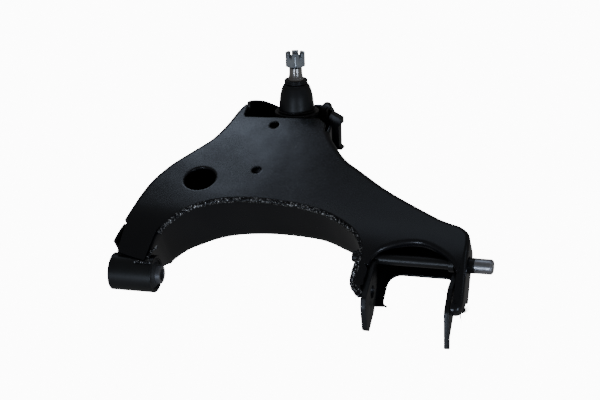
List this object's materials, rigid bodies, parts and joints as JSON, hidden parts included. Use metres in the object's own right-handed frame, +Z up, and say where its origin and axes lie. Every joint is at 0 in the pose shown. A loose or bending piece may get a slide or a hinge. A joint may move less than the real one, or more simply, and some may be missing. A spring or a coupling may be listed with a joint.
{
  "type": "suspension control arm",
  "caption": "Pressed-steel lower control arm with a rubber front bush, an open rear pivot fork, a cross pin and a castle-nut ball joint under a rubber boot.",
  "frame": {"origin": "centre of the front bush, on the arm's pivot axis", "axes": "+X along the pivot axis, from the front bush to the rear fork; +Y outboard, to the ball joint; +Z up, along the ball stud at rest"},
  "size_m": [0.5175, 0.3472, 0.2981],
  "materials": {
    "black_paint": "satin black electrocoat",
    "weld_steel": "glossy black over a rippled weld bead",
    "bright_steel": "machined, oiled",
    "zinc": "bluish zinc plate",
    "rubber": "matt black moulded rubber",
    "nylon": "moulded acetal"
  },
  "bodies": {
    "arm": {"ball_joint_collar": "black_paint", "ball_joint_housing": "black_paint", "boot_clip_ring": "bright_steel", "bottom_cap": "zinc", "bush_leg_weld": "weld_steel", "bush_outer_sleeve": "black_paint", "bush_rubber": "rubber", "bush_tube": "black_paint", "cross_pin": "zinc", "cross_pin_collar": "black_paint", "dust_boot": "rubber", "hose_tab": "black_paint", "inner_arc_weld": "weld_steel", "inner_web": "black_paint", "left_pivot_plate": "black_paint", "lower_ball_seat": "nylon", "lower_shell": "black_paint", "preload_spring": "bright_steel", "right_pivot_plate": "black_paint", "snap_ring": "bright_steel", "steering_stop": "black_paint", "upper_ball_seat": "nylon", "upper_shell": "black_paint"},
    "stud_swing": {"boot_top_ring": "rubber"},
    "stud": {"ball_stud": "bright_steel", "castle_nut": "zinc"},
    "bush_core": {"bush_inner_sleeve": "bright_steel"}
  },
  "joints": [
    {"name": "ball_tilt", "type": "hinge", "parent": "arm", "child": "stud_swing", "pos_m": [0.145, 0.264, 0.137], "axis": [1, 0, 0], "range_deg": [-20, 20], "deforming": ["dust_boot"]},
    {"name": "stud_turn", "type": "hinge", "parent": "stud_swing", "child": "stud", "pos_m": [0.145, 0.264, 0.137], "axis": [0, 0, 1], "continuous": true},
    {"name": "bush_twist", "type": "hinge", "parent": "arm", "child": "bush_core", "pos_m": [0, 0, 0], "axis": [1, 0, 0], "range_deg": [-25, 25], "stiffness_Nm_per_rad": 80}
  ]
}
